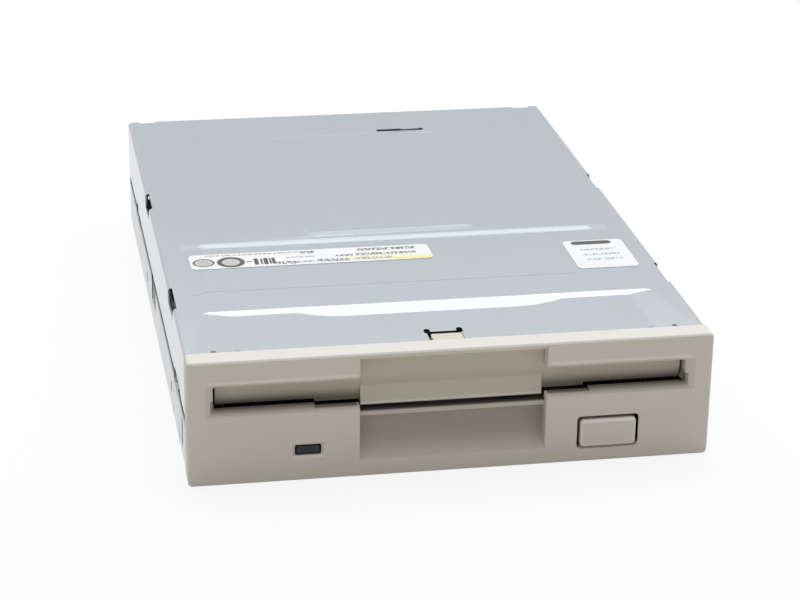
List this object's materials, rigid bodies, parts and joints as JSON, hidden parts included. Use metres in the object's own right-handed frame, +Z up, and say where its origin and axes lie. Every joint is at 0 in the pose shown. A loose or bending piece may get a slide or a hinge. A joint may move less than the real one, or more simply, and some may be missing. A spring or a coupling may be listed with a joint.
{
  "type": "floppy disk drive",
  "caption": "Bare 3.5-inch floppy disk drive for a drive bay: moulded bezel with sprung slot flap and eject button, steel cover, and a loading, spindle and head mechanism inside.",
  "frame": {"origin": "on the underside, under the middle of the overall box", "axes": "+Z up, -Y out of the bezel, +X to the right as seen from the front"},
  "size_m": [0.1016, 0.1474, 0.0254],
  "materials": {
    "bezel": "moulded",
    "lamp_lens": "smoky",
    "lamp": "moulded",
    "top_cover": "plated sheet",
    "chassis": "plated sheet",
    "flap_spring": "spring wire",
    "eject_spring_left": "spring wire",
    "eject_spring_right": "spring wire",
    "motor_board": "solder mask",
    "motor_board_screw_1": "plated",
    "motor_board_screw_2": "plated",
    "motor_board_screw_3": "plated",
    "stator": "wound laminations",
    "spindle_bearing": "turned",
    "write_protect_switch": "moulded",
    "density_switch": "moulded",
    "disk_in_switch": "moulded",
    "guide_rod": "ground",
    "rod_clamp_front": "plated sheet",
    "rod_clamp_rear": "plated sheet",
    "rod_clamp_screw_front": "plated",
    "rod_clamp_screw_rear": "plated",
    "side_rail": "plated sheet",
    "stepper_motor": "plated can",
    "motor_bracket": "plated sheet",
    "screw_pivot": "moulded",
    "track_zero_sensor": "moulded",
    "main_board": "solder mask",
    "main_board_screw_1": "plated",
    "main_board_screw_2": "plated",
    "controller_chip": "moulded",
    "capacitor": "sleeved can",
    "crystal": "plated can",
    "data_connector": "moulded",
    "power_connector": "moulded",
    "head_cable": "flexible film",
    "cable_socket": "moulded",
    "slot_flap": "moulded",
    "slide_plate": "plated sheet",
    "eject_button": "moulded",
    "disk_holder": "plated sheet",
    "trigger_rivet": "turned",
    "trigger_lever": "plated sheet",
    "spindle_rotor": "plated can",
    "rotor_magnet": "bonded ferrite",
    "spindle_shaft": "ground",
    "spindle_hub": "turned",
    "drive_pin": "ground",
    "head_carriage": "moulded",
    "lower_head": "polished ceramic",
    "arm_hinge_pin": "ground",
    "arm_spring": "spring wire",
    "carriage_follower": "pressed",
    "upper_arm": "moulded",
    "upper_head": "polished ceramic",
    "lead_screw": "ground",
    "write_protect_plunger": "moulded",
    "density_plunger": "moulded",
    "disk_in_plunger": "moulded"
  },
  "bodies": {
    "root": {"bezel": "bezel", "lamp_lens": "lamp_lens", "lamp": "lamp", "top_cover": "top_cover", "chassis": "chassis", "flap_spring": "flap_spring", "eject_spring_left": "eject_spring_left", "eject_spring_right": "eject_spring_right", "motor_board": "motor_board", "motor_board_screw_1": "motor_board_screw_1", "motor_board_screw_2": "motor_board_screw_2", "motor_board_screw_3": "motor_board_screw_3", "stator": "stator", "spindle_bearing": "spindle_bearing", "write_protect_switch": "write_protect_switch", "density_switch": "density_switch", "disk_in_switch": "disk_in_switch", "guide_rod": "guide_rod", "rod_clamp_front": "rod_clamp_front", "rod_clamp_rear": "rod_clamp_rear", "rod_clamp_screw_front": "rod_clamp_screw_front", "rod_clamp_screw_rear": "rod_clamp_screw_rear", "side_rail": "side_rail", "stepper_motor": "stepper_motor", "motor_bracket": "motor_bracket", "screw_pivot": "screw_pivot", "track_zero_sensor": "track_zero_sensor", "main_board": "main_board", "main_board_screw_1": "main_board_screw_1", "main_board_screw_2": "main_board_screw_2", "controller_chip": "controller_chip", "capacitor": "capacitor", "crystal": "crystal", "data_connector": "data_connector", "power_connector": "power_connector", "head_cable": "head_cable", "cable_socket": "cable_socket"},
    "flap": {"slot_flap": "slot_flap"},
    "slide_plate": {"slide_plate": "slide_plate", "eject_button": "eject_button"},
    "disk_holder": {"disk_holder": "disk_holder", "trigger_rivet": "trigger_rivet"},
    "trigger_lever": {"trigger_lever": "trigger_lever"},
    "spindle": {"spindle_rotor": "spindle_rotor", "rotor_magnet": "rotor_magnet", "spindle_shaft": "spindle_shaft", "spindle_hub": "spindle_hub", "drive_pin": "drive_pin"},
    "head_carriage": {"head_carriage": "head_carriage", "lower_head": "lower_head", "arm_hinge_pin": "arm_hinge_pin", "arm_spring": "arm_spring", "carriage_follower": "carriage_follower"},
    "upper_arm": {"upper_arm": "upper_arm", "upper_head": "upper_head"},
    "lead_screw": {"lead_screw": "lead_screw"},
    "write_protect_plunger": {"write_protect_plunger": "write_protect_plunger"},
    "density_plunger": {"density_plunger": "density_plunger"},
    "disk_in_plunger": {"disk_in_plunger": "disk_in_plunger"}
  },
  "joints": [
    {"name": "flap_hinge", "type": "hinge", "parent": "root", "child": "flap", "pos_m": [0, -0.06855, 0.0224], "axis": [-1, 0, 0], "range_deg": [-82, 0], "stiffness_Nm_per_rad": 0.0006, "springref_deg": 28.65, "deforming": ["flap_spring"]},
    {"name": "plate_slide", "type": "slide", "parent": "root", "child": "slide_plate", "axis": [0, -1, 0], "range_m": [0, 0.0055], "deforming": ["eject_spring_left", "eject_spring_right"]},
    {"name": "holder_lift", "type": "slide", "parent": "root", "child": "disk_holder", "axis": [0, 0, -1], "range_m": [0, 0.00275]},
    {"name": "trigger_swing", "type": "hinge", "parent": "disk_holder", "child": "trigger_lever", "pos_m": [-0.017, 0.02485, 0.0202], "axis": [0, 0, -1], "range_deg": [0, 58.66]},
    {"name": "spindle_turn", "type": "hinge", "parent": "root", "child": "spindle", "pos_m": [0, -0.02515, 0.008], "axis": [0, 0, 1], "continuous": true},
    {"name": "carriage_slide", "type": "slide", "parent": "root", "child": "head_carriage", "axis": [0, -1, 0], "range_m": [0, 0.0148], "deforming": ["head_cable"]},
    {"name": "arm_hinge", "type": "hinge", "parent": "head_carriage", "child": "upper_arm", "pos_m": [0, 0.04535, 0.017], "axis": [1, 0, 0], "range_deg": [0, 8.34]},
    {"name": "screw_turn", "type": "hinge", "parent": "root", "child": "lead_screw", "pos_m": [0.012, 0.02685, 0.009], "axis": [0, 1, 0], "range_deg": [0, 1800]},
    {"name": "write_protect_press", "type": "slide", "parent": "root", "child": "write_protect_plunger", "axis": [0, 0, -1], "range_m": [0, 0.001], "stiffness_N_per_m": 150, "springref_m": -0.001},
    {"name": "density_press", "type": "slide", "parent": "root", "child": "density_plunger", "axis": [0, 0, -1], "range_m": [0, 0.001], "stiffness_N_per_m": 150, "springref_m": -0.001},
    {"name": "disk_in_press", "type": "slide", "parent": "root", "child": "disk_in_plunger", "axis": [0, 0, -1], "range_m": [0, 0.001], "stiffness_N_per_m": 150, "springref_m": -0.001}
  ],
  "couplings": [
    {"joint": "holder_lift", "follows": "plate_slide", "ratio": 0.5},
    {"joint": "trigger_swing", "follows": "plate_slide", "rad_per_m": 186.14},
    {"joint": "arm_hinge", "follows": "plate_slide", "rad_per_m": 26.456},
    {"joint": "screw_turn", "follows": "carriage_slide", "rad_per_m": 2094.4}
  ]
}
